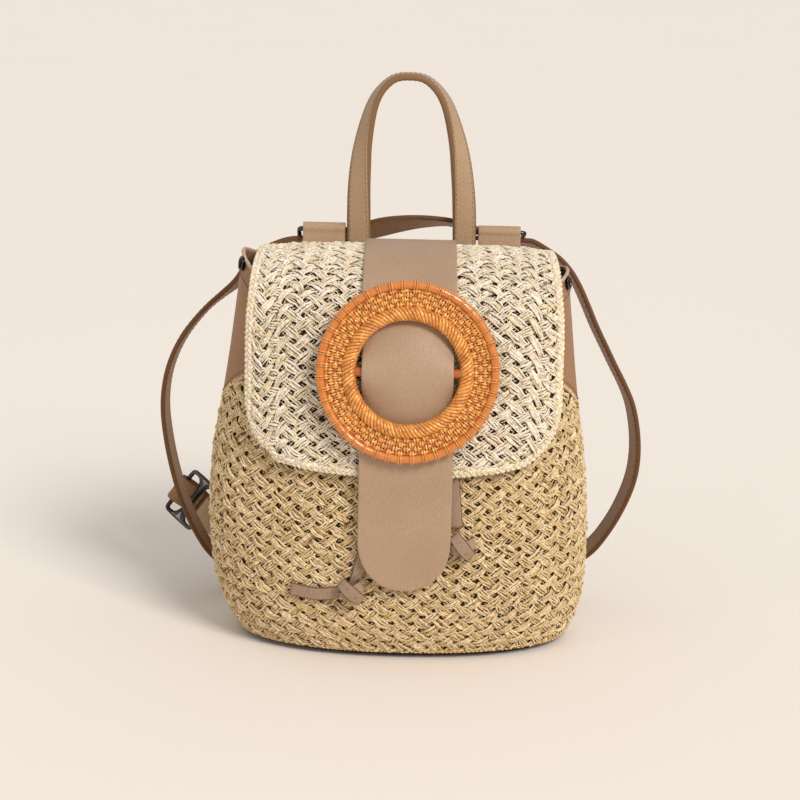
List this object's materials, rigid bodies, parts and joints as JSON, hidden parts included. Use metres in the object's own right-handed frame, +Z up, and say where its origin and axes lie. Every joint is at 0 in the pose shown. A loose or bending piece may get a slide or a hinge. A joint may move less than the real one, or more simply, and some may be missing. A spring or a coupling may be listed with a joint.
{
  "type": "woven straw backpack",
  "caption": "Small straw pouch backpack with a leather collar, a flap held by a tongue through a rattan ring, a top handle and one long shoulder strap.",
  "frame": {"origin": "middle of the base, on the surface that the bag stands on", "axes": "+Z up, -Y out of the front, +X to the right as seen from the front"},
  "size_m": [0.3264, 0.2006, 0.363],
  "materials": {
    "straw_body": "open weave of golden straw, matt",
    "straw_flap": "open weave of pale cream straw, matt",
    "leather": "fine-grained tan leather, satin",
    "collar_leather": "fine-grained brown leather, matt",
    "base_leather": "dark brown leather, matt",
    "rattan": "varnished orange rattan, glossy",
    "gunmetal": "polished dark gunmetal"
  },
  "bodies": {
    "root": {"base_panel": "base_leather", "straw_body": "straw_body", "leather_collar": "collar_leather", "flap": "straw_flap", "tongue": "leather", "rattan_ring": "rattan", "ring_crossbar": "rattan", "handle": "leather", "side_eyelet_left": "gunmetal", "side_eyelet_right": "gunmetal", "front_eyelet_left": "gunmetal", "front_eyelet_right": "gunmetal", "drawstring_left": "leather", "drawstring_left_tail": "leather", "drawstring_left_knot": "leather", "drawstring_right": "leather", "drawstring_right_knot": "leather", "top_ring_left": "gunmetal", "top_ring_right": "gunmetal", "ring_tab_left": "leather", "ring_tab_right": "leather", "shoulder_strap": "leather", "strap_slide_left": "gunmetal", "strap_slide_right": "gunmetal", "strap_anchor_left": "leather", "strap_anchor_right": "leather"}
  },
  "joints": []
}
